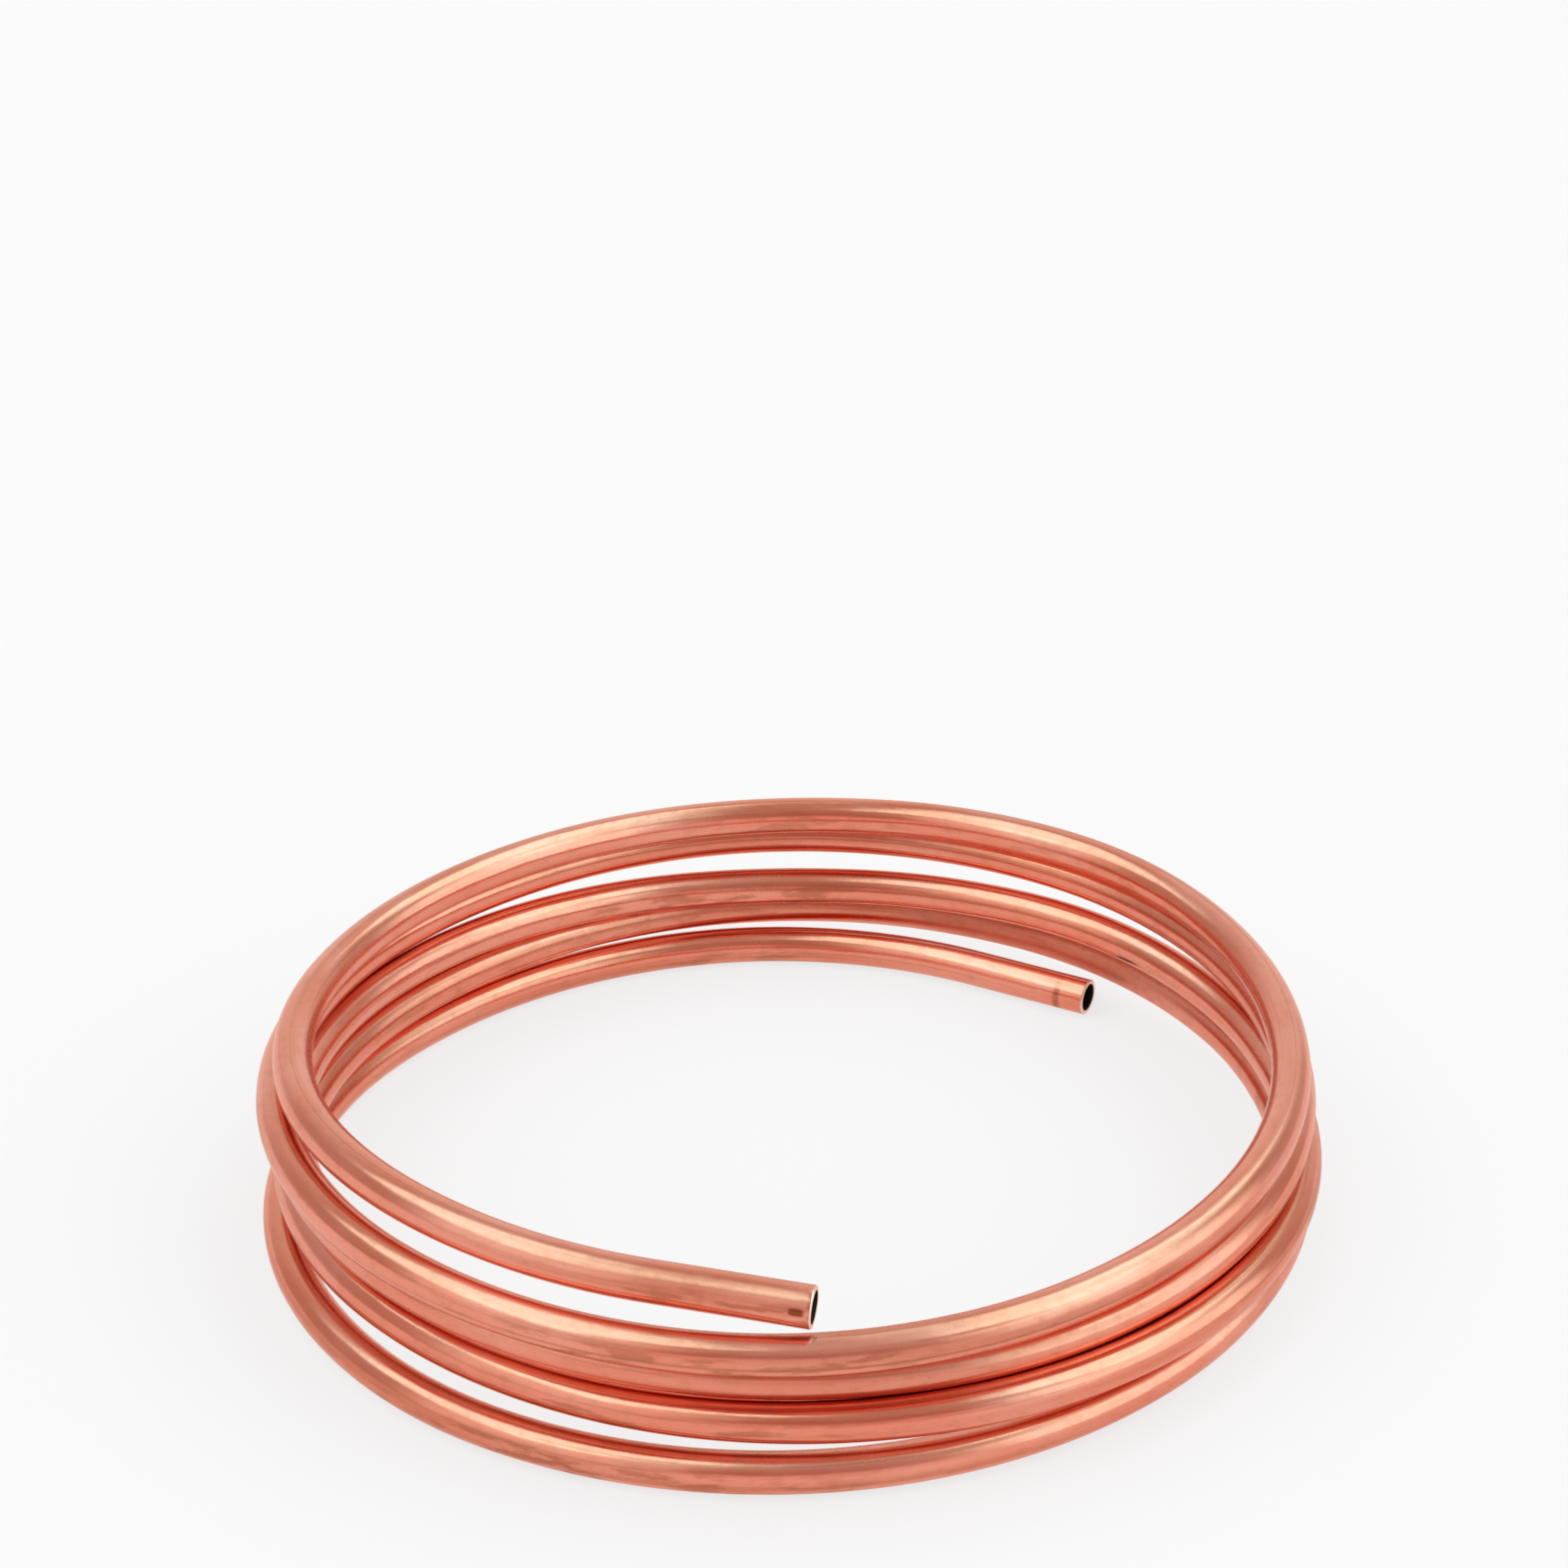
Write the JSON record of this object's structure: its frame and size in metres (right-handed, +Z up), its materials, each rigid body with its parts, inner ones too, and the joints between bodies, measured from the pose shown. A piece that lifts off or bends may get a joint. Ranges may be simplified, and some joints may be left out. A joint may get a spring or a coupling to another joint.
{
  "type": "copper tube coil",
  "caption": "Loose coil of soft copper tube, round section, both ends cut square and open, lying flat as plumbing or refrigeration stock.",
  "frame": {"origin": "on the floor, under the middle of the coil's bounding box", "axes": "+Z up along the coil's axis, -Y towards the viewer of the picture, +X to the right; the top free end lies at the front and points to +X"},
  "size_m": [0.3242, 0.3206, 0.0691],
  "materials": {
    "copper": "satin drawn copper with faint die lines"
  },
  "bodies": {
    "root": {"copper_tube": "copper"}
  },
  "joints": []
}
